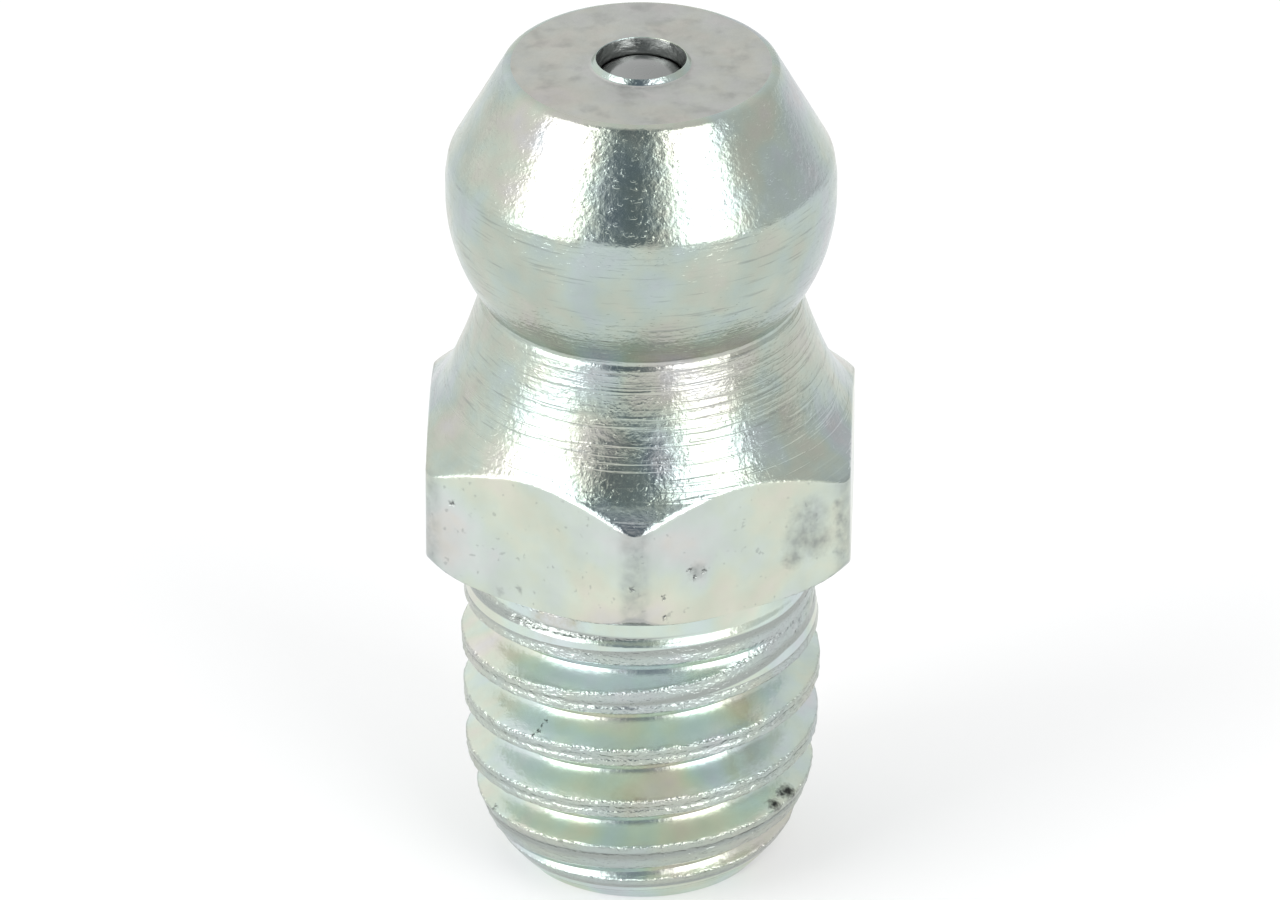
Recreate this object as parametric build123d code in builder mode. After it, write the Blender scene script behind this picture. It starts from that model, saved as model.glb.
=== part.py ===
"""Straight grease nipple with an M6 x 1 taper thread: a turned body, a ball and its spring.

Units are millimetres. The frame is +Z up the nipple's axis, towards the head, with the
origin at the centre of the thread's end face. -Y is the side that a hexagon corner faces.
"""
import os
from math import atan, ceil, cos, degrees, radians, sin, sqrt, tan

from build123d import *

# ---------------------------------------------------------------- driving dimensions
# head and neck, from the top down
HEAD_TOP_RADIUS = 2.27         # of the cone's upper end
HEAD_EDGE_WIDTH = 0.15         # of the break between the flat top and the cone
HEAD_EDGE_HEIGHT = 0.055
HEAD_CONE_HEIGHT = 1.70
HEAD_SHOULDER_HEIGHT = 0.32    # between the cone and the cylindrical land
HEAD_SHOULDER_WIDTH = 0.045
HEAD_LAND_HEIGHT = 0.30
HEAD_RADIUS = 3.22             # of the land, which a coupler grips behind
HEAD_UNDER_HEIGHT = 1.86       # from the land down to the neck
NECK_RADIUS = 2.60
NECK_FILLET = 0.35
FLARE_HEIGHT = 1.50            # from the neck down to the knee, where it opens out faster
FLARE_KNEE_WIDTH = 0.405       # of the flare's foot, below the knee
FLARE_KNEE_ANGLE = 24.0        # degrees from the axis
FLARE_FOOT_HEIGHT = 0.62

# hexagon
HEX_ACROSS_FLATS = 7.0
HEX_TURN = -1.6                # degrees, turn of the front corner about the axis
HEX_HEIGHT = 2.23              # from the underside up to the flare
HEX_CORNER_RADIUS = 0.38       # of the drawn bar's corners
HEX_TOP_WIDTH = 0.465          # of the turned top chamfer, from the sharp corner in
HEX_TOP_ANGLE = 40.0           # degrees, the chamfer above the horizontal
HEX_UNDER_WIDTH = 0.49         # of the rounded lower corners, from the sharp corner in
HEX_UNDER_HEIGHT = 0.62

# shank and thread, right-hand
SHANK_LENGTH = 6.07            # thread's end to the hexagon's underside
COLLAR_HEIGHT = 1.62           # plain collar, where the crests aren't full yet
COLLAR_STEP = 0.13             # below the crests
COLLAR_SLOPE_HEIGHT = 0.40
CREST_RADIUS = 2.99            # of the uppermost full crests
CREST_TAPER = 1 / 32           # radius lost for each millimetre towards the end
CREST_WIDTH = 0.28
ROOT_WIDTH = 0.12
FLANK_ANGLE = 30.0             # degrees, each flank from the radial plane
PITCH = 1.0
GROOVE_DROP = 1.453            # from the hexagon down to the end of the full groove
RUNOUT_ANGLE = -120.0          # degrees about the axis from +X, where the full groove ends
RUNOUT_TURN = 0.28             # of a turn, over which the groove then lifts out of the steel
TURN_OVERLAP = 0.002           # of a turn, by which each cut runs on into the next
CUTTER_REACH = 0.04            # how far the groove's cutter stands out of the steel
NOSE_UPPER_HEIGHT = 0.90       # the nose, where the crests draw in, is turned in three bevels
NOSE_UPPER_WIDTH = 0.17
NOSE_LOWER_HEIGHT = 0.70
NOSE_LOWER_WIDTH = 0.31
NOSE_END_HEIGHT = 0.50
NOSE_END_WIDTH = 0.43

# valve
BALL_RADIUS = 1.19
BALL_CLEARANCE = 0.015         # between the closed ball and its seat
WIRE_RADIUS = 0.15
WIRE_SIDES = 6                 # the wire, hidden in the bore, is drawn six-sided
SPRING_TURNS = 6               # open turns, between the two closed ones
SPRING_CLEARANCE = 0.02        # between the spring and what it bears on
SPRING_SIDE_CLEARANCE = 0.16   # between the spring and the bore

# grease way
LIP_HEIGHT = 0.12              # raised lip of the inlet
LIP_WIDTH = 0.085
MOUTH_WIDTH = 0.045            # draft from the lip in to the throat
THROAT_RADIUS = 0.70
THROAT_DEPTH = 0.20            # throat below the head's flat top
SEAT_ANGLE = 50.0              # degrees, half angle of the cone that the ball shuts against
BORE_CLEARANCE = 0.16          # between the ball and the bore
RIM_WIDTH = 0.35               # bore end, rolled in to hold the spring
RIM_HEIGHT = 0.45
RIM_SLOPE_HEIGHT = 0.12

# ---------------------------------------------------------------- body
# heights above the thread's end
flare_end_z = SHANK_LENGTH + HEX_HEIGHT
flare_knee_z = flare_end_z + FLARE_FOOT_HEIGHT
neck_z = flare_knee_z + FLARE_HEIGHT
land_low_z = neck_z + HEAD_UNDER_HEIGHT
land_high_z = land_low_z + HEAD_LAND_HEIGHT
cone_low_z = land_high_z + HEAD_SHOULDER_HEIGHT
head_top_z = cone_low_z + HEAD_CONE_HEIGHT
throat_z = head_top_z - THROAT_DEPTH
collar_low_z = SHANK_LENGTH - COLLAR_HEIGHT
crest_top_z = collar_low_z - COLLAR_SLOPE_HEIGHT
nose_low_z = NOSE_END_HEIGHT + NOSE_LOWER_HEIGHT
nose_high_z = nose_low_z + NOSE_UPPER_HEIGHT

# radii
corner_radius = HEX_ACROSS_FLATS / 2 / cos(radians(30))
flare_end_radius = corner_radius - HEX_TOP_WIDTH
flare_knee_radius = flare_end_radius - FLARE_KNEE_WIDTH
hex_under_radius = corner_radius - HEX_UNDER_WIDTH
collar_radius = CREST_RADIUS - COLLAR_STEP
nose_high_radius = CREST_RADIUS - CREST_TAPER * (crest_top_z - nose_high_z)
nose_low_radius = nose_high_radius - NOSE_UPPER_WIDTH
nose_end_radius = nose_low_radius - NOSE_LOWER_WIDTH
mouth_radius = THROAT_RADIUS + MOUTH_WIDTH
bore_radius = BALL_RADIUS + BORE_CLEARANCE
rim_radius = bore_radius - RIM_WIDTH

hex_top_rise = HEX_TOP_WIDTH * tan(radians(HEX_TOP_ANGLE))
bore_high_z = throat_z - (bore_radius - THROAT_RADIUS) / tan(radians(SEAT_ANGLE))
knee_slope = (sin(radians(FLARE_KNEE_ANGLE)), -cos(radians(FLARE_KNEE_ANGLE)))
neck_slope = (-knee_slope[0], -knee_slope[1])

# the groove's section, from its root out past the crests
thread_depth = (PITCH - CREST_WIDTH - ROOT_WIDTH) / 2 / tan(radians(FLANK_ANGLE))
cutter_depth = thread_depth + CUTTER_REACH
cutter_width = ROOT_WIDTH + 2 * cutter_depth * tan(radians(FLANK_ANGLE))
runout_z = SHANK_LENGTH - GROOVE_DROP
groove_turns = ceil(runout_z / PITCH)
runout_side = (cos(radians(RUNOUT_ANGLE)), sin(radians(RUNOUT_ANGLE)), 0)
runout_course = (-sin(radians(RUNOUT_ANGLE)), cos(radians(RUNOUT_ANGLE)), 0)

with BuildPart() as nipple_body:
    # the turned outline and the grease way, as one half section
    with BuildSketch(Plane.YZ) as half_section:
        with BuildLine():
            Polyline(
                (collar_radius, SHANK_LENGTH),
                (collar_radius, collar_low_z),
                (CREST_RADIUS, crest_top_z),
                (nose_high_radius, nose_high_z),
                (nose_low_radius, nose_low_z),
                (nose_end_radius, NOSE_END_HEIGHT),
                (nose_end_radius - NOSE_END_WIDTH, 0),
                (rim_radius, 0),
                (rim_radius, RIM_HEIGHT),
                (bore_radius, RIM_HEIGHT + RIM_SLOPE_HEIGHT),
                (bore_radius, bore_high_z),
                (THROAT_RADIUS, throat_z),
                (mouth_radius, head_top_z + LIP_HEIGHT),
                (mouth_radius + LIP_WIDTH, head_top_z),
                (HEAD_TOP_RADIUS - HEAD_EDGE_WIDTH, head_top_z),
                (HEAD_TOP_RADIUS, head_top_z - HEAD_EDGE_HEIGHT),
                (HEAD_RADIUS - HEAD_SHOULDER_WIDTH, cone_low_z),
                (HEAD_RADIUS, land_high_z),
                (HEAD_RADIUS, land_low_z),
            )
            TangentArc((HEAD_RADIUS, land_low_z), (NECK_RADIUS, neck_z), tangent=(0, -1))
            TangentArc(
                (flare_knee_radius, flare_knee_z), (NECK_RADIUS, neck_z), tangent=neck_slope
            )
            TangentArc(
                (flare_knee_radius, flare_knee_z),
                (flare_end_radius, flare_end_z),
                tangent=knee_slope,
            )
            Polyline(
                (flare_end_radius, flare_end_z),
                (corner_radius, flare_end_z - hex_top_rise),
                (corner_radius, SHANK_LENGTH + HEX_UNDER_HEIGHT),
            )
            TangentArc(
                (corner_radius, SHANK_LENGTH + HEX_UNDER_HEIGHT),
                (hex_under_radius, SHANK_LENGTH),
                tangent=(0, -1),
            )
            Line((hex_under_radius, SHANK_LENGTH), (collar_radius, SHANK_LENGTH))
        make_face()
        fillet(half_section.vertices().sort_by_distance((NECK_RADIUS, neck_z))[0], NECK_FILLET)
    revolve(axis=Axis.Z)

    # six flats: what lies outside the hexagon bar is cut away
    with BuildSketch() as bar:
        RegularPolygon(HEX_ACROSS_FLATS / 2, 6, major_radius=False, rotation=30 + HEX_TURN)
        fillet(bar.vertices(), HEX_CORNER_RADIUS)
    extrude(amount=head_top_z + LIP_HEIGHT, mode=Mode.INTERSECT)

    # the thread's groove, one turn at a time up the taper; the last one lifts out of the steel
    for turn in range(-groove_turns, 1):
        turn_low_z = runout_z + turn * PITCH
        root_radius = CREST_RADIUS - CREST_TAPER * (crest_top_z - turn_low_z) - thread_depth
        if turn < 0:
            climb, rise = PITCH, CREST_TAPER * PITCH
        else:
            climb, rise = RUNOUT_TURN * PITCH, collar_radius - root_radius + CUTTER_REACH
        cone_angle = degrees(atan(rise / climb))
        cut_height = climb + TURN_OVERLAP * PITCH
        with BuildLine(Plane.XY.offset(turn_low_z)) as turn_path:
            Helix(PITCH / cos(radians(cone_angle)), cut_height, root_radius, cone_angle=cone_angle)
        groove_path = turn_path.line.rotate(Axis.Z, RUNOUT_ANGLE)
        with BuildSketch(Plane(groove_path @ 0, x_dir=runout_side, z_dir=runout_course)):
            with BuildLine():
                Polyline(
                    (0, ROOT_WIDTH / 2),
                    (cutter_depth, cutter_width / 2),
                    (cutter_depth, -cutter_width / 2),
                    (0, -ROOT_WIDTH / 2),
                    close=True,
                )
            make_face()
        sweep(path=groove_path, is_frenet=True, mode=Mode.SUBTRACT)

nipple_body.part.label = "nipple_body"

# ---------------------------------------------------------------- ball
# the closed ball lies on the seat's cone
seat_point_z = throat_z + THROAT_RADIUS / tan(radians(SEAT_ANGLE))
ball_z = seat_point_z - (BALL_RADIUS + BALL_CLEARANCE) / sin(radians(SEAT_ANGLE))

with BuildPart() as check_ball:
    with BuildSketch(Plane.XZ):
        with BuildLine():
            CenterArc((0, ball_z), BALL_RADIUS, -90, 180)
            Line((0, ball_z - BALL_RADIUS), (0, ball_z + BALL_RADIUS))
        make_face()
    revolve(axis=Axis.Z)

check_ball.part.label = "check_ball"

# ---------------------------------------------------------------- spring
# it stands on the rim's slope and ends under the ball, with a closed coil at each end
spring_radius = bore_radius - SPRING_SIDE_CLEARANCE - WIRE_RADIUS
rim_slope = RIM_SLOPE_HEIGHT / RIM_WIDTH
spring_foot_rise = rim_slope * (spring_radius + WIRE_RADIUS - rim_radius)
spring_low_z = RIM_HEIGHT + spring_foot_rise + SPRING_CLEARANCE
ball_drop = sqrt(BALL_RADIUS**2 - (spring_radius - WIRE_RADIUS) ** 2)
spring_high_z = ball_z - ball_drop - SPRING_CLEARANCE
closed_pitch = 2 * WIRE_RADIUS + SPRING_CLEARANCE
open_pitch = (spring_high_z - spring_low_z - 2 * closed_pitch) / SPRING_TURNS

with BuildPart() as valve_spring:
    turn_low_z = spring_low_z
    with BuildLine() as coil_path:
        for pitch in [closed_pitch] + [open_pitch] * SPRING_TURNS + [closed_pitch]:
            Helix(pitch, pitch, spring_radius, center=(0, 0, turn_low_z))
            turn_low_z += pitch
    with BuildSketch(Plane(coil_path.wire() @ 0, x_dir=(1, 0, 0), z_dir=(0, 1, 0))):
        RegularPolygon(WIRE_RADIUS, WIRE_SIDES)
    sweep(path=coil_path.wire(), is_frenet=True)
    # both ends are ground flat, to the middle of the wire
    with BuildSketch(Plane.XY.offset(spring_low_z)):
        Circle(bore_radius)
    extrude(amount=spring_high_z - spring_low_z, mode=Mode.INTERSECT)

valve_spring.part.label = "valve_spring"

# ---------------------------------------------------------------- files
os.makedirs("parts", exist_ok=True)
for piece in (nipple_body, check_ball, valve_spring):
    export_step(piece.part, f"parts/{piece.part.label}.step")
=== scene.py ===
"""Straight grease nipple with an M6 x 1 taper thread, zinc plated, standing on its end.

The shapes are modelled in millimetres and turned to metres as each mesh is made. Round the
axis, -Y is the side that the camera and a corner of the hexagon face.
"""

from math import atan2, ceil, cos, floor, pi, radians, sin, sqrt, tan

import bmesh
import bpy
from mathutils import Matrix, Vector, noise


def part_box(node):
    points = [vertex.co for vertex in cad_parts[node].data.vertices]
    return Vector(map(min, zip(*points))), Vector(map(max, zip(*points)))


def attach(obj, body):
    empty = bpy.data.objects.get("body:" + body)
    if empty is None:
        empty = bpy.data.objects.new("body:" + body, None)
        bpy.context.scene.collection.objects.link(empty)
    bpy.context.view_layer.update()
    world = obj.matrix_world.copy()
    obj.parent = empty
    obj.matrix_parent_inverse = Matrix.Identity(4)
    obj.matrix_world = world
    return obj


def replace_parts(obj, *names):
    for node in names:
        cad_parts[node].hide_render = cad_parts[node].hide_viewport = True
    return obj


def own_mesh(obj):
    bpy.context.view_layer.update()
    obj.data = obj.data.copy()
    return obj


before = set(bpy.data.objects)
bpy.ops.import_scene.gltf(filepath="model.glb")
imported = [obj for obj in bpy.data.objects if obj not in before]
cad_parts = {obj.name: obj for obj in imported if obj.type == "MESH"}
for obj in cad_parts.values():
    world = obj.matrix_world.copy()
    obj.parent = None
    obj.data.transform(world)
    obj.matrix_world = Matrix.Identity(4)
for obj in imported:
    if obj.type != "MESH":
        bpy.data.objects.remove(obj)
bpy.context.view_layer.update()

MM = 0.001
AXIS = Vector((0, 0, 1))

# ---------------------------------------------------------------- sizes, mm and radians
# head and neck, heights above the thread's end
LIP_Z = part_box("nipple_body")[1][2] / MM
LIP_HEIGHT = 0.12
LIP_FOOT_RADIUS = 0.83
MOUTH_RADIUS = 0.745
HEAD_TOP_Z = LIP_Z - LIP_HEIGHT
HEAD_TOP_RADIUS = 2.24         # where the flat top would meet the cone
HEAD_EDGE = 0.10               # rounding of that edge, measured along each side
CONE_LOW_Z = 12.90
CONE_LOW_RADIUS = 3.175
CONE_EDGE = 0.07               # rounding of the cone's lower edge
LAND_HIGH_Z = 12.58
LAND_LOW_Z = 12.28
HEAD_RADIUS = 3.22
NECK_Z = 10.42
NECK_RADIUS = 2.60
NECK_EDGE = 0.07
BEAD_Z = 10.34                 # the steeper step that the tool left under the neck
BEAD_RADIUS = 2.66
KNEE_Z = 8.92
KNEE_RADIUS = 3.1715
KNEE_ANGLE = radians(24)
FLARE_END_Z = 8.30
FLARE_END_RADIUS = 3.5765
TURNED_EDGE = 0.035            # rounding of the other turned edges

# hexagon
ACROSS_FLATS = 7.0
HEX_TURN = radians(-1.6)       # brings the front corner a little to the left
BLANK_BAR_RADIUS = ACROSS_FLATS / 2 / cos(radians(30))
CORNER_ROUNDING = 0.38         # radius of the drawn bar's corners
CHAMFER_LOW_Z = 7.91
UNDER_RADIUS = 3.5515
UNDER_HEIGHT = 0.62
HEX_LOW_Z = 6.07
HEX_EDGE = 0.038               # rounding between the flats and the turned ends

# shank and thread
PITCH = 1.0
CREST_TOP_Z = 4.05
CREST_RADIUS = 2.99            # at that height
CREST_TAPER = 1 / 32           # on the radius
CREST_WIDTH = 0.28
ROOT_WIDTH = 0.12
FLANK_SLOPE = tan(radians(30))
THREAD_DEPTH = (PITCH - CREST_WIDTH - ROOT_WIDTH) / 2 / FLANK_SLOPE
BLANK_RADIUS = 2.86            # of the shank before the thread was rolled
RUNOUT_ANGLE = -pi             # about the axis from +X, where the last groove starts to lift out
RUNOUT_Z = 4.45                # height of the groove's middle there
RUNOUT_TURN = 145 / 360
RUNOUT_POWER = 2.5             # how late in that turn most of the depth is lost
COLLAR_RADIUS = 2.82           # turned down under the hexagon
COLLAR_LOW_Z = 5.24
COLLAR_FOOT_Z = COLLAR_LOW_Z + 0.14   # where its torn lower edge has turned into the smooth collar
NOSE_HIGH_Z = 2.20             # the crests round in below this
NOSE_LOW_Z = 0.50
NOSE_LOW_RADIUS = 2.45
END_RADIUS = 2.02
NOSE_EDGE = 0.08
CREST_EDGE = 0.035             # how far the crests' edges are eased
ROOT_EDGE = 0.20               # how far the rolled roots are rounded
SEAM_DEPTH = 0.020             # of the furrow that rolling leaves between a crest's two lips
SEAM_WIDTH = 0.06              # half its width
TORN_DEPTH = 0.020             # of the torn steel on the crests
TORN_SIZE = 0.13               # across its lumps
TORN_REACH = 0.28              # how far over the turned shank it is still torn
JOINT_STEP = 0.03              # radial step left for the bands that join the shank to its ends

# bore, ball and spring
THROAT_RADIUS = 0.70
THROAT_Z = HEAD_TOP_Z - 0.20
SEAT_ANGLE = radians(50)
BORE_RADIUS = 1.35
RIM_RADIUS = 1.00
RIM_Z = 0.45
RIM_SLOPE_Z = 0.57
BALL_RADIUS = 1.19
WIRE_RADIUS = 0.15
WIRE_CLEARANCE = 0.02
SPRING_TURNS = 6

# facets
ROUND_STEPS = 144              # round the axis
THREAD_ROWS = 56               # to a pitch
# columns of facets at each corner of the hexagon, as turns from it
CORNER_COLUMNS = [radians(turn) for turn in (-2.8, -2.1, -1.4, -0.7, 0, 0.7, 1.4, 2.1, 2.8)]
WIRE_SIDES = 16
WIRE_STEPS = 48                # to a turn of the spring
SHARP_ANGLE = radians(40)      # edges that turn more than this are left sharp
CORNER_ANGLE = radians(10)     # corners of a half section that turn more than this are rounded
MERGE_DISTANCE = 1e-4
CUT_DISTANCE = 1e-5
END_MARGIN = 0.001             # how far past its end a point still counts as the hexagon's

# values that the body's points carry for its materials, in mm
CREST_LAYER = "crest"          # how far the groove's form stands out of the turned shank
BAR_LAYER = "bar"              # how far the turned form stands out of the hexagon bar


# ---------------------------------------------------------------- materials
CLOUD_LOW = 0.3                # noise seldom goes beyond these
CLOUD_HIGH = 0.7

FILM_ORDERS = 14.0             # radians of colour over the film's whole range
FILM_START = 3.3               # green where the film is of middling thickness
FILM_TINTS = (1.0, 0.45, 1.1)  # how far red, green and blue swing
CRYSTAL_PATCH = 0.7            # mm across patches of the zinc's crystals
MOTTLE = 0.06                  # how far they lighten and darken the zinc

PIT_WOBBLE = 0.2               # how ragged the pits' edges are, and over how many mm
PIT_WOBBLE_SIZE = 0.07

# marks: x, y, z and radius in mm
FLAT_PITS = [
    (-3.11, -2.20, 7.60, 0.055),
    (0.80, -3.55, 7.10, 0.05),
    (0.87, -3.51, 6.93, 0.055),
    (1.03, -3.42, 7.02, 0.05),
    (0.39, -3.77, 6.33, 0.055),
    (0.37, -3.78, 6.70, 0.04),
    (-0.15, -3.98, 6.96, 0.045),
]
# where the flats were knocked in a hopper, mostly the right-hand one
HANDLING_MARKS = [
    (2.75, -2.49, 7.50, 0.34),
    (2.65, -2.54, 7.15, 0.34),
    (2.90, -2.40, 7.00, 0.28),
    (2.50, -2.63, 6.80, 0.2),
    (3.24, -2.23, 7.60, 0.10),
    (3.27, -2.21, 7.30, 0.11),
    (3.26, -2.22, 7.00, 0.10),
    (3.24, -2.23, 6.72, 0.09),
    (0.93, -3.48, 7.02, 0.17),
    (-2.32, -2.68, 6.20, 0.08),
    (-2.00, -2.88, 6.35, 0.07),
]
THREAD_STAINS = [
    (1.94, -2.02, 4.02, 0.34),
    (2.12, -1.83, 3.04, 0.34),
    (1.75, -2.17, 2.97, 0.26),
    (-1.60, -2.35, 5.45, 0.30),
    (-1.20, -2.60, 5.60, 0.26),
    (-0.20, -2.75, 2.2, 0.3),
]
THREAD_CHIPS = [
    (2.44, -1.28, 1.60, 0.145),
    (2.33, -1.38, 1.63, 0.09),
    (2.21, -1.66, 1.57, 0.12),
    (-2.43, -1.23, 1.27, 0.05),
]
THREAD_SCRATCH = [
    (-1.79, -2.30, 3.26, 0.035),
    (-1.71, -2.24, 3.32, 0.035),
    (-1.63, -2.18, 3.38, 0.035),
    (-1.56, -2.11, 3.44, 0.035),
]
CORNER_DARK_RADIUS = 3.86      # beyond this from the axis, in mm, the hexagon's corners are darkened
CORNER_DARK_EASE = 0.13


def linear(code):
    """Linear colour of an sRGB hex code."""
    shares = [int(code[place:place + 2], 16) / 255 for place in (1, 3, 5)]
    return tuple(s / 12.92 if s <= 0.04045 else ((s + 0.055) / 1.055) ** 2.4 for s in shares)


def connect(node, socket, value):
    """Sets a node's input to a value, or links another node's output to it."""
    if isinstance(value, bpy.types.NodeSocket):
        node.id_data.links.new(value, node.inputs[socket])
    else:
        node.inputs[socket].default_value = value


def add(nodes, kind, inputs, **settings):
    """Adds a node with its settings; each input is a value or another node's output."""
    node = nodes.new("ShaderNode" + kind)
    for name, value in settings.items():
        setattr(node, name, value)
    for socket, value in inputs.items():
        connect(node, socket, value)
    return node


def start_metal(name, colour):
    """A metal, its nodes, its shader, and the place of each point in millimetres."""
    material = bpy.data.materials.new(name)
    material.use_nodes = True
    nodes = material.node_tree.nodes
    metal = nodes["Principled BSDF"]
    connect(metal, "Base Color", (*linear(colour), 1))
    connect(metal, "Metallic", 1.0)
    coordinates = add(nodes, "TexCoord", {}).outputs["Object"]
    place = add(nodes, "VectorMath", {0: coordinates, "Scale": 1 / MM}, operation="SCALE").outputs["Vector"]
    return material, nodes, metal, place


def drift(nodes, place, size=1.0, low=0.0, high=1.0, detail=2.0):
    """A value that drifts between low and high over so many millimetres."""
    cloud = add(nodes, "TexNoise", {"Vector": place, "Scale": 1 / size, "Detail": detail}).outputs["Fac"]
    shares = {"Value": cloud, "From Min": CLOUD_LOW, "From Max": CLOUD_HIGH, "To Min": low, "To Max": high}
    return add(nodes, "MapRange", shares).outputs["Result"]


def stretched(nodes, place, along, upright):
    """Places squeezed so that a pattern of size 1 gets that length round the axis and that height, in mm."""
    squeeze = (1 / along, 1 / along, 1 / upright)
    return add(nodes, "VectorMath", {0: place, 1: squeeze}, operation="MULTIPLY").outputs["Vector"]


def between(nodes, value, low, high, ease):
    """1 where a value lies between two others, easing to 0 outside them."""
    rise = {"Value": value, "From Min": low - ease, "From Max": low}
    rise = add(nodes, "MapRange", rise).outputs["Result"]
    fall = {"Value": value, "From Min": high + ease, "From Max": high}
    fall = add(nodes, "MapRange", fall).outputs["Result"]
    return add(nodes, "Math", {0: rise, 1: fall}, operation="MULTIPLY").outputs["Value"]


def pits(nodes, place, spots):
    """How deep in a pit a point is, from 0 to 1; each spot is x, y, z and radius in millimetres."""
    ragged = {"Vector": place, "Scale": 1 / PIT_WOBBLE_SIZE, "Detail": 3.0}
    wobble = add(nodes, "TexNoise", ragged).outputs["Color"]
    moved = {0: wobble, 1: (PIT_WOBBLE,) * 3, 2: place}
    moved = add(nodes, "VectorMath", moved, operation="MULTIPLY_ADD").outputs["Vector"]
    deepest = 0.0
    for x, y, z, radius in spots:
        # the noise's middle value moves every place by half the wobble
        middle = Vector((x, y, z)) + Vector((PIT_WOBBLE,) * 3) / 2
        off = add(nodes, "VectorMath", {0: moved, 1: middle}, operation="DISTANCE").outputs["Value"]
        # its side slopes from a little outside the radius to a flat bottom a third as wide
        side = {"Value": off, "From Min": radius * 1.3, "From Max": radius / 3}
        depth = add(nodes, "MapRange", side).outputs["Result"]
        deepest = add(nodes, "Math", {0: deepest, 1: depth}, operation="MAXIMUM").outputs["Value"]
    return deepest


def lay_stain(nodes, metal, share, stain):
    """Takes so large a share of the metal's colour over to the stain's."""
    colour = metal.inputs["Base Color"]
    colour = colour.links[0].from_socket if colour.links else colour.default_value
    mixed = {0: share, 6: colour, 7: (*linear(stain), 1)}
    connect(metal, "Base Color", add(nodes, "Mix", mixed, data_type="RGBA").outputs[2])


def lay_passivate(nodes, metal, place, cloud_size, tint):
    """The clear passivate's film drifts in thickness, which lays blue, green, yellow and pink clouds.

    The zinc's own crystals mottle it finely from light to dark.
    """
    colour = metal.inputs["Base Color"]
    colour = colour.links[0].from_socket if colour.links else colour.default_value[:3]
    film = add(nodes, "TexNoise", {"Vector": place, "Scale": 1 / cloud_size, "Detail": 4.0}).outputs["Fac"]
    # red, green and blue swell and fade a third of a turn apart as the film gets thicker
    thirds = [FILM_START + turn * 2 * pi / 3 for turn in range(3)]
    phase = {0: film, 1: (FILM_ORDERS,) * 3, 2: thirds}
    phase = add(nodes, "VectorMath", phase, operation="MULTIPLY_ADD").outputs["Vector"]
    wave = add(nodes, "VectorMath", {0: phase}, operation="COSINE").outputs["Vector"]
    tinted = {0: wave, 1: Vector(FILM_TINTS) * tint, 2: colour}
    tinted = add(nodes, "VectorMath", tinted, operation="MULTIPLY_ADD").outputs["Vector"]
    mottle = drift(nodes, place, CRYSTAL_PATCH, low=1 - MOTTLE, high=1 + MOTTLE, detail=6.0)
    mottled = add(nodes, "VectorMath", {0: tinted, "Scale": mottle}, operation="SCALE").outputs["Vector"]
    connect(metal, "Base Color", mottled)


def lay_relief(nodes, metal, height, depth, share=1.0):
    """Lays relief of that depth, in millimetres, over what the metal already has."""
    relief = {"Height": height, "Distance": depth * MM, "Strength": share}
    if metal.inputs["Normal"].links:
        relief["Normal"] = metal.inputs["Normal"].links[0].from_socket
    connect(metal, "Normal", add(nodes, "Bump", relief).outputs["Normal"])


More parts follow.
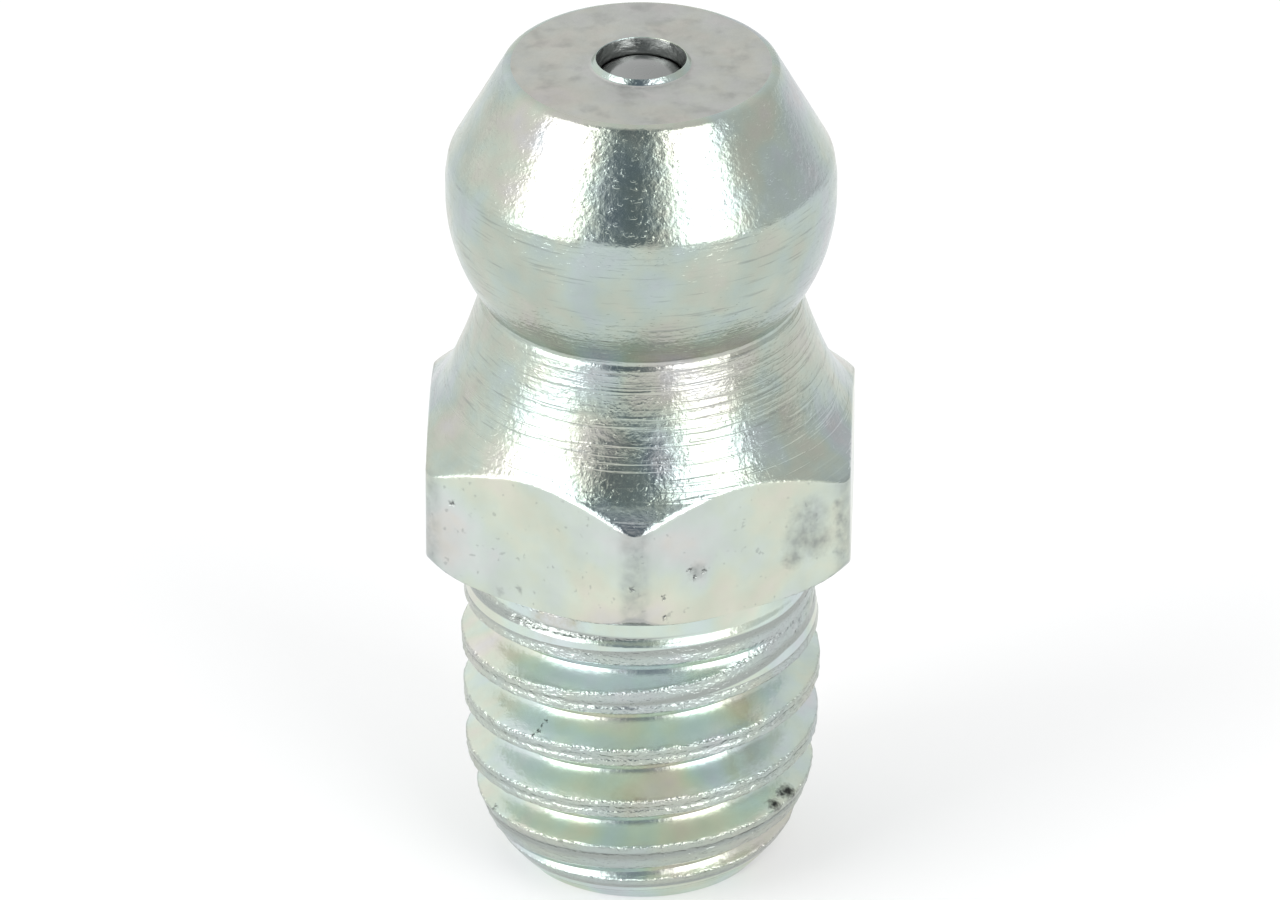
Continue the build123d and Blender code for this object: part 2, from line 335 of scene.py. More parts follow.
def zinc_machined():
    """Bright zinc on the turned bar: a crisp shine broken by feed lines and grain.

    The flats, which were drawn and not turned, are paler and smoother.
    """
    material, nodes, metal, place = start_metal("zinc_machined", "#b2b8b3")
    height = add(nodes, "SeparateXYZ", {"Vector": place}).outputs["Z"]
    over = add(nodes, "Attribute", {}, attribute_name=BAR_LAYER).outputs["Fac"]
    drawn = add(nodes, "MapRange", {"Value": over, "From Min": -0.01, "From Max": 0.02}).outputs["Result"]
    turned = add(nodes, "Math", {0: 1.0, 1: drawn}, operation="SUBTRACT").outputs["Value"]
    lay_stain(nodes, metal, drawn, "#c8ccc3")
    lay_passivate(nodes, metal, place, cloud_size=1.5, tint=0.028)
    connect(metal, "Roughness", drift(nodes, place, size=0.5, low=0.15, high=0.25))

    # knocks and pits on the flats
    patches = drift(nodes, place, size=0.16, low=0.25, high=0.85, detail=4.0)
    knock = {0: pits(nodes, place, HANDLING_MARKS), 1: patches}
    knock = add(nodes, "Math", knock, operation="MULTIPLY").outputs["Value"]
    lay_stain(nodes, metal, knock, "#8e9390")
    pit = pits(nodes, place, FLAT_PITS)
    lay_stain(nodes, metal, pit, "#686c6a")

    # dirt rolled into the bar's skin, in specks
    specks = drift(nodes, place, size=0.13, detail=3.0)
    specks = {"Value": specks, "From Min": 0.9, "From Max": 1.0, "To Max": 0.35}
    specks = add(nodes, "MapRange", specks).outputs["Result"]
    dirt = add(nodes, "Math", {0: specks, 1: drawn}, operation="MULTIPLY").outputs["Value"]
    lay_stain(nodes, metal, dirt, "#858a87")

    # the hexagon's corners are darkened in patches
    level = add(nodes, "VectorMath", {0: place, 1: (1, 1, 0)}, operation="MULTIPLY").outputs["Vector"]
    out = add(nodes, "VectorMath", {0: level}, operation="LENGTH").outputs["Value"]
    darkening_end = CORNER_DARK_RADIUS + CORNER_DARK_EASE
    darkened_corner = {"Value": out, "From Min": CORNER_DARK_RADIUS, "From Max": darkening_end, "To Max": 0.7}
    darkened_corner = add(nodes, "MapRange", darkened_corner, interpolation_type="SMOOTHSTEP").outputs["Result"]
    darkened_corner = add(nodes, "Math", {0: darkened_corner, 1: patches}, operation="MULTIPLY").outputs["Value"]
    lay_stain(nodes, metal, darkened_corner, "#8f9593")

    # chips dragged round under the tool left dark dashes between the cone and the knee
    streaks = drift(nodes, stretched(nodes, place, along=0.8, upright=0.05), detail=3.0)
    dashes = {"Value": streaks, "From Min": 0.7, "From Max": 1.1, "To Max": 0.7}
    dashes = add(nodes, "MapRange", dashes).outputs["Result"]
    below_cone = between(nodes, height, KNEE_Z, CONE_LOW_Z, ease=0.2)
    dragged = add(nodes, "Math", {0: dashes, 1: below_cone}, operation="MULTIPLY").outputs["Value"]
    lay_stain(nodes, metal, dragged, "#868c89")

    # the plate's grain is about 0.01 mm; it is drawn coarse enough to break the reflections' borders
    grain = {"Vector": place, "Scale": 1 / 0.13}
    grain = add(nodes, "TexVoronoi", grain, feature="SMOOTH_F1").outputs["Distance"]
    lay_relief(nodes, metal, grain, depth=0.0046, share=turned)
    lay_relief(nodes, metal, drift(nodes, place, size=0.07, detail=3.0), depth=0.0024)
    # here and there it stands up in nodules, which sparkle in the dark between the softboxes
    nodules = drift(nodes, stretched(nodes, place, along=0.12, upright=0.06))
    nodules = {"Value": nodules, "From Min": 0.75, "From Max": 1.2}
    lay_relief(nodes, metal, add(nodes, "MapRange", nodules).outputs["Result"], depth=0.0045, share=turned)

    # the finishing tool's feed left a line every 0.085 mm: all of them show round the neck
    lines = drift(nodes, stretched(nodes, place, along=2.5, upright=0.085))
    neck = between(nodes, height, BEAD_Z - 0.85, NECK_Z + 0.2, ease=0.25)
    lay_relief(nodes, metal, lines, depth=0.0035, share=neck)
    # and the deepest ones all down the flare
    deepest = add(nodes, "MapRange", {"Value": lines, "From Min": 0.62, "From Max": 0.9}).outputs["Result"]
    flare = between(nodes, height, CHAMFER_LOW_Z, NECK_Z, ease=0.1)
    flare = add(nodes, "Math", {0: flare, 1: turned}, operation="MULTIPLY").outputs["Value"]
    lay_relief(nodes, metal, deepest, depth=0.0065, share=flare)
    # the dragged chips stand up a little on the head
    head = between(nodes, height, NECK_Z, CONE_LOW_Z - 0.1, ease=0.2)
    lay_relief(nodes, metal, streaks, depth=0.0025, share=head)

    # the pits go in
    sunk = add(nodes, "Math", {0: 1.0, 1: pit}, operation="SUBTRACT").outputs["Value"]
    lay_relief(nodes, metal, sunk, depth=0.012)
    return material


def zinc_faced():
    """Zinc on the head's end: the facing tool tore the steel a little, so it is dull, with soft smudges."""
    material, nodes, metal, place = start_metal("zinc_faced", "#b9b9b4")
    lay_passivate(nodes, metal, place, cloud_size=1.1, tint=0.010)
    smudges = drift(nodes, stretched(nodes, place, along=0.45, upright=0.2), detail=4.0)
    smudges = {"Value": smudges, "From Min": 0.45, "From Max": 1.1, "To Max": 0.48}
    smudges = add(nodes, "MapRange", smudges, interpolation_type="SMOOTHSTEP").outputs["Result"]
    lay_stain(nodes, metal, smudges, "#8f908d")
    connect(metal, "Roughness", drift(nodes, place, size=0.3, low=0.34, high=0.5))
    lay_relief(nodes, metal, drift(nodes, place, size=0.12, detail=4.0), depth=0.006)
    return material


def zinc_rolled():
    """Zinc on a rolled thread: burnished flanks with green and yellow tints; torn crests that sparkle."""
    material, nodes, metal, place = start_metal("zinc_rolled", "#ccd2cc")
    height = add(nodes, "SeparateXYZ", {"Vector": place}).outputs["Z"]
    proud = add(nodes, "Attribute", {}, attribute_name=CREST_LAYER).outputs["Fac"]
    on_crest = between(nodes, proud, 0.01, 0.5, ease=0.04)
    on_thread = between(nodes, height, 0, COLLAR_FOOT_Z, ease=0.04)
    crest = add(nodes, "Math", {0: on_crest, 1: on_thread}, operation="MULTIPLY").outputs["Value"]
    lay_passivate(nodes, metal, place, cloud_size=1.7, tint=0.040)
    shine = {"Value": crest, "To Min": 0.25, "To Max": 0.18}
    connect(metal, "Roughness", add(nodes, "MapRange", shine).outputs["Result"])

    patches = drift(nodes, place, size=0.2, low=0.1, high=0.75, detail=3.0)
    stain = {0: pits(nodes, place, THREAD_STAINS), 1: patches}
    stain = add(nodes, "Math", stain, operation="MULTIPLY").outputs["Value"]
    lay_stain(nodes, metal, stain, "#b0a88a")
    # where the thread runs out the crests are wider and greyer
    wide = {"Value": proud, "From Min": 0.2, "From Max": 0.35, "To Min": 0.5, "To Max": 1.0}
    wide = add(nodes, "MapRange", wide).outputs["Result"]
    worn = add(nodes, "Math", {0: crest, 1: wide}, operation="MULTIPLY").outputs["Value"]
    lay_stain(nodes, metal, worn, "#a0a6a2")
    lay_stain(nodes, metal, pits(nodes, place, THREAD_CHIPS + THREAD_SCRATCH), "#363836")

    lay_relief(nodes, metal, drift(nodes, place, size=0.12), depth=0.0025)
    # the torn crests' real roughness is finer than this; the wide ones are torn less
    tears = drift(nodes, stretched(nodes, place, along=0.12, upright=0.06), detail=3.0)
    torn = {"Value": proud, "From Min": 0.25, "From Max": 0.35, "To Min": 1.0, "To Max": 0.75}
    torn = add(nodes, "MapRange", torn).outputs["Result"]
    torn = add(nodes, "Math", {0: crest, 1: torn}, operation="MULTIPLY").outputs["Value"]
    lay_relief(nodes, metal, tears, depth=0.014, share=torn)
    crest_edge = between(nodes, proud, -0.02, 0.06, ease=0.03)
    lay_relief(nodes, metal, drift(nodes, place, size=0.07), depth=0.02, share=crest_edge)
    return material


def zinc_bore():
    """The bore, which the plating bath hardly reached: darker and duller than the outside."""
    material, nodes, metal, place = start_metal("zinc_bore", "#979a98")
    connect(metal, "Roughness", drift(nodes, place, size=0.4, low=0.26, high=0.4))
    scores = drift(nodes, stretched(nodes, place, along=0.2, upright=0.12), detail=3.0)
    lay_relief(nodes, metal, scores, depth=0.010)
    return material


def ball_steel():
    """Lapped chromium steel: a smooth, slightly dark grey shine."""
    material, nodes, metal, place = start_metal("lapped_ball_steel", "#989a99")
    connect(metal, "Roughness", drift(nodes, place, size=0.5, low=0.16, high=0.3))
    lay_relief(nodes, metal, drift(nodes, place, size=0.15, detail=3.0), depth=0.0015)
    return material


def spring_wire():
    """Patented spring wire: dark grey, with the die's fine lines along it, drawn here as a fine grain."""
    material, nodes, metal, place = start_metal("spring_wire", "#6f716f")
    connect(metal, "Roughness", drift(nodes, place, size=0.3, low=0.28, high=0.42))
    lay_relief(nodes, metal, drift(nodes, place, size=0.06), depth=0.002)
    return material


# ---------------------------------------------------------------- mesh tools
def start_outline(bm, radius, height):
    """First vertex of a half section, which lies in the XZ plane."""
    return bmesh.ops.create_vert(bm, co=(radius, 0, height))["vert"][0]


def run(bm, vert, radius, height, pieces=1):
    """Straight run of the half section, in so many pieces."""
    start = vert.co.copy()
    end = Vector((radius, 0, height))
    for piece in range(1, pieces + 1):
        vert = bmesh.ops.extrude_vert_indiv(bm, verts=[vert])["verts"][0]
        vert.co = start.lerp(end, piece / pieces)
    return vert


def bow(bm, vert, radius, height, slope, pieces):
    """Arc of the half section, which leaves the vertex along slope."""
    start = vert.co.copy()
    along = Vector((slope[0], 0, slope[1])).normalized()
    across = Vector((along.z, 0, -along.x))
    chord = Vector((radius, 0, height)) - start
    arc_radius = chord.length_squared / (2 * chord.dot(across))
    angle = 2 * atan2(chord.dot(across), chord.dot(along))
    spun = bmesh.ops.spin(
        bm, geom=[vert], cent=start + across * arc_radius, axis=(0, 1, 0), angle=angle, steps=pieces
    )
    return [v for v in spun["geom_last"] if isinstance(v, bmesh.types.BMVert)][0]


def bend(vert):
    """Angle that the half section turns by at a vertex, or 0 at its ends."""
    if len(vert.link_edges) != 2:
        return 0
    before, after = (edge.other_vert(vert).co for edge in vert.link_edges)
    return (before - vert.co).angle(vert.co - after)


def round_corners(bm, corners, edge, segments):
    """Rounds corners of a half section, by so much along each side."""
    bmesh.ops.bevel(
        bm, geom=corners, offset=edge, offset_type="OFFSET", segments=segments, profile=0.5,
        affect="VERTICES", material=-1,
    )


def revolve(bm, steps):
    """Spins a half section once round the axis."""
    bmesh.ops.spin(
        bm, geom=bm.verts[:] + bm.edges[:], cent=(0, 0, 0), axis=AXIS, angle=2 * pi, steps=steps,
        use_merge=True,
    )


def trim(bm, height, side):
    """Cuts off what lies above a height, or below it if side is -1, and gives the edges of the cut."""
    cut = bmesh.ops.bisect_plane(
        bm, geom=bm.verts[:] + bm.edges[:] + bm.faces[:], dist=CUT_DISTANCE,
        plane_co=(0, 0, height), plane_no=(0, 0, side), clear_outer=True,
    )["geom_cut"]
    return [e for e in cut if isinstance(e, bmesh.types.BMEdge)]


def open_ring(bm, height):
    """Open edges of the mesh that lie at a height."""
    open_edges = [e for e in bm.edges if e.is_boundary]
    return [e for e in open_edges if all(abs(v.co.z - height) < MERGE_DISTANCE for v in e.verts)]


def put_in_scene(name, data):
    """A new object that shows a mesh, a lamp or a camera."""
    thing = bpy.data.objects.new(name, data)
    bpy.context.scene.collection.objects.link(thing)
    return thing


def make_piece(name, bm, body, materials):
    """Turns a millimetre mesh into a piece that rides on a body."""
    bmesh.ops.recalc_face_normals(bm, faces=bm.faces)
    bmesh.ops.scale(bm, vec=(MM, MM, MM), verts=bm.verts)
    for face in bm.faces:
        face.smooth = True
    for edge in bm.edges:
        if edge.is_manifold and edge.calc_face_angle() > SHARP_ANGLE:
            edge.smooth = False
    mesh = bpy.data.meshes.new(name)
    bm.to_mesh(mesh)
    bm.free()
    for material in materials:
        mesh.materials.append(material)
    piece = put_in_scene(name, mesh)
    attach(piece, body)
    return piece


# ---------------------------------------------------------------- body
# slots of its finishes; the rest is machined, which has the first slot
FACED, ROLLED, BORE = 1, 2, 3


def soft_least(first, second, ease):
    """The smaller of two lengths, with the corner between them eased."""
    gap = max(ease - abs(first - second), 0) / ease
    return min(first, second) - ease * gap * gap / 4


def soft_most(first, second, ease):
    """The larger of two lengths, with the corner between them eased."""
    return -soft_least(-first, -second, ease)


def fullness(turns):
    """Share of its depth that the groove has, so many turns past the start of its run-out."""
    return 1 - min(max(turns / RUNOUT_TURN, 0), 1) ** RUNOUT_POWER


def full_crest_radius(height):
    """Radius of the taper that full crests reach."""
    return CREST_RADIUS - CREST_TAPER * max(CREST_TOP_Z - height, 0)


def turned_radius(height, full):
    """Radius that the crests, or the shank where the thread isn't full, reach at a height."""
    radius = BLANK_RADIUS + (full_crest_radius(height) - BLANK_RADIUS) * full
    if height > COLLAR_LOW_Z:
        # the collar's lower edge eases in and out
        share = min((height - COLLAR_LOW_Z) / (COLLAR_FOOT_Z - COLLAR_LOW_Z), 1)
        return radius + (COLLAR_RADIUS - radius) * share * share * (3 - 2 * share)
    if height < NOSE_HIGH_Z:
        share = (NOSE_HIGH_Z - height) / (NOSE_HIGH_Z - NOSE_LOW_Z)
        radius -= (full_crest_radius(NOSE_LOW_Z) - NOSE_LOW_RADIUS) * share * share
        end = END_RADIUS + (NOSE_LOW_RADIUS - END_RADIUS) * height / NOSE_LOW_Z
        return soft_least(radius, end, NOSE_EDGE)
    return radius


def shank_radius(angle, height):
    """Radius of the threaded shank, and how far the groove's form stands out of the turned shank."""
    turns = ((angle - RUNOUT_ANGLE) / (2 * pi)) % 1
    # the point lies a share of the way from one turn of the groove's middle to the next
    rise = (height - RUNOUT_Z) / PITCH - turns
    below = floor(rise)
    share = rise - below
    lower = fullness(below + turns)
    upper = fullness(below + 1 + turns)
    turned = turned_radius(height, lower + (upper - lower) * share)
    full = lower if share < 0.5 else upper
    off = min(share, 1 - share) * PITCH
    furrow = max(1 - ((PITCH / 2 - off) / SEAM_WIDTH) ** 2, 0) * min(lower, upper)
    turned -= SEAM_DEPTH * furrow
    bottom = full_crest_radius(height) - THREAD_DEPTH
    root = bottom + (turned + CREST_EDGE - bottom) * (1 - full)
    flank = root + (off - ROOT_WIDTH / 2) / FLANK_SLOPE
    groove = soft_most(flank, root, ROOT_EDGE)
    return soft_least(groove, turned, CREST_EDGE), groove - turned


def shank_wall(bm):
    """The threaded shank: a turn of wall swept up the helix, repeated, then pushed to the thread's form."""
    vert = start_outline(bm, CREST_RADIUS, -PITCH)
    run(bm, vert, CREST_RADIUS, 0, THREAD_ROWS)
    bmesh.ops.spin(
        bm, geom=bm.verts[:] + bm.edges[:], cent=(0, 0, 0), axis=AXIS,
        dvec=(0, 0, PITCH / ROUND_STEPS), angle=2 * pi, steps=ROUND_STEPS,
    )
    turn = bm.verts[:] + bm.edges[:] + bm.faces[:]
    for lift in range(1, ceil(HEX_LOW_Z / PITCH) + 1):
        copied = bmesh.ops.duplicate(bm, geom=turn)["geom"]
        verts = [v for v in copied if isinstance(v, bmesh.types.BMVert)]
        bmesh.ops.translate(bm, verts=verts, vec=(0, 0, lift * PITCH))
    bmesh.ops.remove_doubles(bm, verts=bm.verts, dist=MERGE_DISTANCE)
    trim(bm, 0, -1)
    trim(bm, HEX_LOW_Z, 1)
    crest = bm.verts.layers.float[CREST_LAYER]
    for vert in bm.verts:
        angle = atan2(vert.co.y, vert.co.x)
        radius, proud = shank_radius(angle, vert.co.z)
        vert[crest] = proud
        # the rolled crests, and the collar's lower edge, are a little torn
        if -CREST_EDGE < proud < TORN_REACH and NOSE_LOW_Z < vert.co.z < COLLAR_FOOT_Z:
            radius += TORN_DEPTH * noise.noise(vert.co / TORN_SIZE)
        vert.co.x = radius * cos(angle)
        vert.co.y = radius * sin(angle)
    for face in bm.faces:
        face.material_index = ROLLED


def turned_wall(bm):
    """Everything turned above the shank, and the grease way inside, from one half section."""
    knee = (sin(KNEE_ANGLE), -cos(KNEE_ANGLE))
    bore_high_z = THROAT_Z - (BORE_RADIUS - THROAT_RADIUS) / tan(SEAT_ANGLE)
    vert = start_outline(bm, END_RADIUS - JOINT_STEP, 0)
    vert = run(bm, vert, RIM_RADIUS, 0)
    vert = run(bm, vert, RIM_RADIUS, RIM_Z)
    vert = run(bm, vert, BORE_RADIUS, RIM_SLOPE_Z)
    vert = run(bm, vert, BORE_RADIUS, bore_high_z, pieces=4)
    vert = run(bm, vert, THROAT_RADIUS, THROAT_Z)
    vert = run(bm, vert, MOUTH_RADIUS, LIP_Z)
    vert = run(bm, vert, LIP_FOOT_RADIUS, HEAD_TOP_Z)
    head_edge = run(bm, vert, HEAD_TOP_RADIUS, HEAD_TOP_Z)
    cone_edge = run(bm, head_edge, CONE_LOW_RADIUS, CONE_LOW_Z)
    vert = run(bm, cone_edge, HEAD_RADIUS, LAND_HIGH_Z)
    vert = run(bm, vert, HEAD_RADIUS, LAND_LOW_Z)
    neck = bow(bm, vert, NECK_RADIUS, NECK_Z, slope=(0, -1), pieces=24)
    vert = run(bm, neck, BEAD_RADIUS, BEAD_Z)
    # the flare's arc is tangent to the foot at the knee, so its slope at the top mirrors that
    chord = Vector((KNEE_RADIUS - BEAD_RADIUS, KNEE_Z - BEAD_Z)).normalized()
    foot = Vector(knee)
    vert = bow(bm, vert, KNEE_RADIUS, KNEE_Z, slope=2 * foot.dot(chord) * chord - foot, pieces=16)
    vert = bow(bm, vert, FLARE_END_RADIUS, FLARE_END_Z, slope=knee, pieces=30)
    vert = run(bm, vert, BLANK_BAR_RADIUS, CHAMFER_LOW_Z, pieces=26)
    vert = run(bm, vert, BLANK_BAR_RADIUS, HEX_LOW_Z + UNDER_HEIGHT, pieces=6)
    vert = bow(bm, vert, UNDER_RADIUS, HEX_LOW_Z, slope=(0, -1), pieces=24)
    run(bm, vert, COLLAR_RADIUS + JOINT_STEP, HEX_LOW_Z)
    corners = [v for v in bm.verts if bend(v) > CORNER_ANGLE and v not in (neck, head_edge, cone_edge)]
    round_corners(bm, corners, TURNED_EDGE, segments=3)
    round_corners(bm, [neck], NECK_EDGE, segments=6)
    round_corners(bm, [cone_edge], CONE_EDGE, segments=5)
    round_corners(bm, [head_edge], HEAD_EDGE, segments=8)
    revolve(bm, ROUND_STEPS)
    for face in bm.faces:
        middle = face.calc_center_median()
        radius = middle.xy.length
        if middle.z < HEAD_TOP_Z - TURNED_EDGE and radius < BORE_RADIUS + TURNED_EDGE:
            face.material_index = BORE
        elif middle.z > HEAD_TOP_Z - MERGE_DISTANCE and radius > LIP_FOOT_RADIUS:
            face.material_index = FACED


def bar_radius(angle):
    """Radius of the hexagon bar at an angle about the axis."""
    off_flat = abs((angle - HEX_TURN + radians(30)) % radians(60) - radians(30))
    rounding_reach = (ACROSS_FLATS / 2 - CORNER_ROUNDING) / cos(radians(30))
    rounding_start = atan2(rounding_reach * sin(radians(30)), ACROSS_FLATS / 2)
    if off_flat < rounding_start:
        return ACROSS_FLATS / 2 / cos(off_flat)
    swing = radians(30) - off_flat
    return rounding_reach * cos(swing) + sqrt(CORNER_ROUNDING**2 - (rounding_reach * sin(swing)) ** 2)


def may_meet_bar(place):
    """Whether a point of the turned blank is low and wide enough to reach the bar's flats."""
    return HEX_LOW_Z - END_MARGIN < place.z < KNEE_Z and place.xy.length > KNEE_RADIUS


def press_to_bar(bm):
    """Pushes the turned blank in to the bar's flats, with closer columns of facets at its corners."""
    for side in range(3):
        for turn in CORNER_COLUMNS:
            angle = HEX_TURN + radians(60 * side + 30) + turn
            faces = [f for f in bm.faces if may_meet_bar(f.calc_center_median())]
            edges = dict.fromkeys(e for f in faces for e in f.edges)
            verts = dict.fromkeys(v for f in faces for v in f.verts)
            bmesh.ops.bisect_plane(
                bm, geom=[*faces, *edges, *verts], dist=CUT_DISTANCE, plane_co=(0, 0, 0),
                plane_no=(-sin(angle), cos(angle), 0),
            )
    over = bm.verts.layers.float[BAR_LAYER]
    for vert in bm.verts:
        vert[over] = -1
        if may_meet_bar(vert.co):
            radius = vert.co.xy.length
            bar = bar_radius(atan2(vert.co.y, vert.co.x))
            vert[over] = radius - bar
            vert.co.xy *= soft_least(radius, bar, HEX_EDGE) / radius


def build_body():
    """The body, plated in one piece: the turned wall and the shank are joined at the shank's two ends."""
    bm = bmesh.new()
    shank = bmesh.new()
    for form in (bm, shank):
        form.verts.layers.float.new(CREST_LAYER)
        form.verts.layers.float.new(BAR_LAYER)
    turned_wall(bm)
    press_to_bar(bm)
    shank_wall(shank)
    mesh = bpy.data.meshes.new("shank")
    shank.to_mesh(mesh)
    shank.free()
    bm.from_mesh(mesh)
    bpy.data.meshes.remove(mesh)
    for height in (0, HEX_LOW_Z):
        bmesh.ops.bridge_loops(bm, edges=open_ring(bm, height))
    finishes = [zinc_machined(), zinc_faced(), zinc_rolled(), zinc_bore()]
    return make_piece("body", bm, "body", finishes)


# ---------------------------------------------------------------- valve
def build_ball():
    """Check ball: a half circle spun round the axis."""
    low, high = (corner[2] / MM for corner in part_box("check_ball"))
    middle = (low + high) / 2
    bm = bmesh.new()
    vert = start_outline(bm, 0, middle - BALL_RADIUS)
    bow(bm, vert, 0, middle + BALL_RADIUS, slope=(1, 0), pieces=48)
    revolve(bm, ROUND_STEPS // 2)
    bmesh.ops.remove_doubles(bm, verts=bm.verts, dist=MERGE_DISTANCE)
    return make_piece("ball", bm, "ball", [ball_steel()])


def build_spring():
    """Valve spring: a round wire swept up the helix, with a closed coil and a ground face at each end."""
    low, high = (corner[2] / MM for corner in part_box("valve_spring"))
    coil_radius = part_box("valve_spring")[1][0] / MM - WIRE_RADIUS
    closed_pitch = 2 * WIRE_RADIUS + WIRE_CLEARANCE
    open_pitch = (high - low - 2 * closed_pitch) / SPRING_TURNS
    bm = bmesh.new()
    bmesh.ops.create_circle(bm, segments=WIRE_SIDES, radius=WIRE_RADIUS)
    bmesh.ops.rotate(bm, verts=bm.verts, cent=(0, 0, 0), matrix=Matrix.Rotation(pi / 2, 3, "X"))
    bmesh.ops.translate(bm, verts=bm.verts, vec=(coil_radius, 0, low))
    end = bm.verts[:] + bm.edges[:]
    for pitch, turns in ((closed_pitch, 1), (open_pitch, SPRING_TURNS), (closed_pitch, 1)):
        steps = WIRE_STEPS * turns
        end = bmesh.ops.spin(
            bm, geom=end, cent=(0, 0, 0), axis=AXIS, dvec=(0, 0, pitch * turns / steps),
            angle=2 * pi * turns, steps=steps,
        )["geom_last"]
    for height, side in ((low, -1), (high, 1)):
        bmesh.ops.holes_fill(bm, edges=trim(bm, height, side))
    spring = make_piece("spring", bm, "body", [spring_wire()])
    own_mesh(spring)
    return spring


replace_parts(build_body(), "nipple_body")
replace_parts(build_ball(), "check_ball")
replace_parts(build_spring(), "valve_spring")

# ---------------------------------------------------------------- studio, mm and degrees
CAMERA_ELEVATION = 28.9
CAMERA_DISTANCE = 300.0
AIM = Vector((-0.02, -0.09, 7.43))
VIEW_WIDTH = 21.17             # across the frame at the aim
SENSOR_WIDTH = 36.0
CLIP_START = 10
CLIP_END = 10000

SOFTBOX_DISTANCE = 250.0
SOFTBOX_LOW = 4.0
SOFTBOX_HIGH = 52.0
# the azimuths that each softbox spans, and its radiance
SOFTBOXES = {"softbox_left": (-79, -40, 2.7), "softbox_right": (22, 61, 2.5)}

ROOM_LEFT = 1.20               # strength of the room's light from the left and from the right
ROOM_RIGHT = 0.74
# the dark gap between the softboxes, as parts of the unit vector towards it
GAP_MIDDLE = -0.12             # X
# where each of its borders is still light, and where it is dark
GAP_SIDES = (0.44, 0.14)       # X, to either side of the middle
GAP_LOW = (sin(radians(11)), sin(radians(14)))
GAP_HIGH = (1.10, 0.85)        # Z
GAP_FRONT = (0.0, -0.2)        # Y
GAP_COLOUR = (0.18, 0.215, 0.25, 1)

FLOOR_SIZE = 2000.0
FLOOR_GLOW = 0.26              # lifts the floor to white for the camera and for the metal's reflections
WHITE = (1, 1, 1, 1)


def direction(azimuth, elevation):
    """Unit vector; azimuth runs from -Y towards +X."""
    azimuth = radians(azimuth)
    elevation = radians(elevation)
    return Vector((sin(azimuth) * cos(elevation), -cos(azimuth) * cos(elevation), sin(elevation)))


def place_camera():
    """A long lens, straight in front of the nipple and looking down on it."""
    data = bpy.data.cameras.new("camera")
    data.sensor_width = SENSOR_WIDTH
    data.lens = SENSOR_WIDTH * CAMERA_DISTANCE / VIEW_WIDTH
    data.clip_start = CLIP_START * MM
    data.clip_end = CLIP_END * MM
    camera = put_in_scene("camera", data)
    camera.location = (AIM + CAMERA_DISTANCE * direction(0, CAMERA_ELEVATION)) * MM
    camera.rotation_euler = (pi / 2 - radians(CAMERA_ELEVATION), 0, 0)
    bpy.context.scene.camera = camera


def place_softbox(name, start, end, radiance):
    """A softbox that fills the view from the nipple between two azimuths."""
    elevation = (SOFTBOX_LOW + SOFTBOX_HIGH) / 2
    width = 2 * SOFTBOX_DISTANCE * tan(radians((end - start) / 2)) * cos(radians(elevation))
    height = 2 * SOFTBOX_DISTANCE * tan(radians((SOFTBOX_HIGH - SOFTBOX_LOW) / 2))
    data = bpy.data.lights.new(name, "AREA")
    data.shape = "RECTANGLE"
    data.size = width * MM
    data.size_y = height * MM
    # an area lamp's power is its radiance times pi times its area
    data.energy = radiance * pi * width * height * MM * MM
    towards = direction((start + end) / 2, elevation)
    softbox = put_in_scene(name, data)
    softbox.location = (AIM + towards * SOFTBOX_DISTANCE) * MM
    softbox.rotation_euler = towards.to_track_quat("Z", "Y").to_euler()


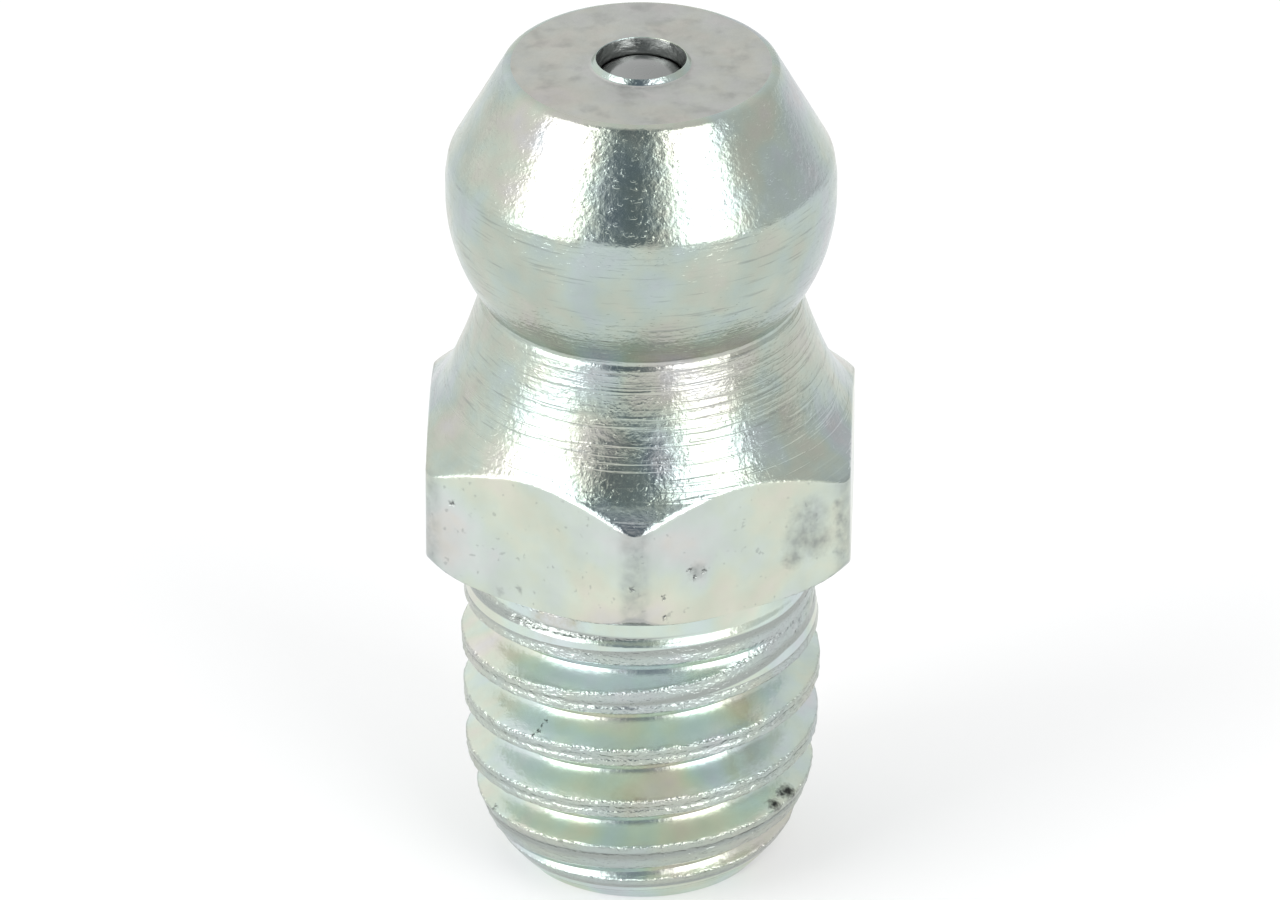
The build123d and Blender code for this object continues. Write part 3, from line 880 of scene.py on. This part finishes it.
def light_world():
    """A white room, brighter on the left, with a dark gap in front, behind the camera."""
    world = bpy.data.worlds.new("studio")
    bpy.context.scene.world = world
    world.use_nodes = True
    nodes = world.node_tree.nodes
    way = add(nodes, "TexCoord", {}).outputs["Generated"]
    parts = add(nodes, "SeparateXYZ", {"Vector": way}).outputs
    walls = {"Value": parts["X"], "From Min": -1.0, "To Min": ROOM_LEFT, "To Max": ROOM_RIGHT}
    walls = add(nodes, "MapRange", walls).outputs["Result"]
    aside = add(nodes, "Math", {0: parts["X"], 1: GAP_MIDDLE}, operation="SUBTRACT").outputs["Value"]
    aside = add(nodes, "Math", {0: aside}, operation="ABSOLUTE").outputs["Value"]
    borders = ((aside, GAP_SIDES), (parts["Z"], GAP_LOW), (parts["Z"], GAP_HIGH), (parts["Y"], GAP_FRONT))
    dark = 1.0
    for value, (light_end, dark_end) in borders:
        border = {"Value": value, "From Min": light_end, "From Max": dark_end}
        border = add(nodes, "MapRange", border, interpolation_type="SMOOTHSTEP").outputs["Result"]
        dark = add(nodes, "Math", {0: dark, 1: border}, operation="MULTIPLY").outputs["Value"]
    room = add(nodes, "Mix", {0: dark, 6: walls, 7: GAP_COLOUR}, data_type="RGBA").outputs[2]
    seen = add(nodes, "LightPath", {}).outputs["Is Camera Ray"]
    colour = add(nodes, "Mix", {0: seen, 6: room, 7: WHITE}, data_type="RGBA").outputs[2]
    connect(nodes["Background"], "Color", colour)


def lay_floor():
    """A sheet of white card, which keeps the nipple's shadow."""
    bm = bmesh.new()
    bmesh.ops.create_grid(bm, x_segments=1, y_segments=1, size=FLOOR_SIZE * MM)
    mesh = bpy.data.meshes.new("floor")
    bm.to_mesh(mesh)
    bm.free()
    put_in_scene("floor", mesh)
    material = bpy.data.materials.new("white_card")
    material.use_nodes = True
    nodes = material.node_tree.nodes
    card = nodes["Principled BSDF"]
    connect(card, "Base Color", (*linear("#d9d9d9"), 1))
    connect(card, "Roughness", 0.9)
    connect(card, "Specular IOR Level", 0.0)
    connect(card, "Emission Color", WHITE)
    rays = add(nodes, "LightPath", {}).outputs
    seen = {0: rays["Is Camera Ray"], 1: rays["Is Glossy Ray"]}
    seen = add(nodes, "Math", seen, operation="ADD").outputs["Value"]
    seen = add(nodes, "Math", {0: seen, 1: rays["Is Transmission Ray"]}, operation="ADD").outputs["Value"]
    glow = add(nodes, "Math", {0: seen, 1: FLOOR_GLOW}, operation="MULTIPLY").outputs["Value"]
    connect(card, "Emission Strength", glow)
    mesh.materials.append(material)


place_camera()
for name, (start, end, radiance) in SOFTBOXES.items():
    place_softbox(name, start, end, radiance)
light_world()
lay_floor()
bpy.context.scene.view_settings.view_transform = "Standard"
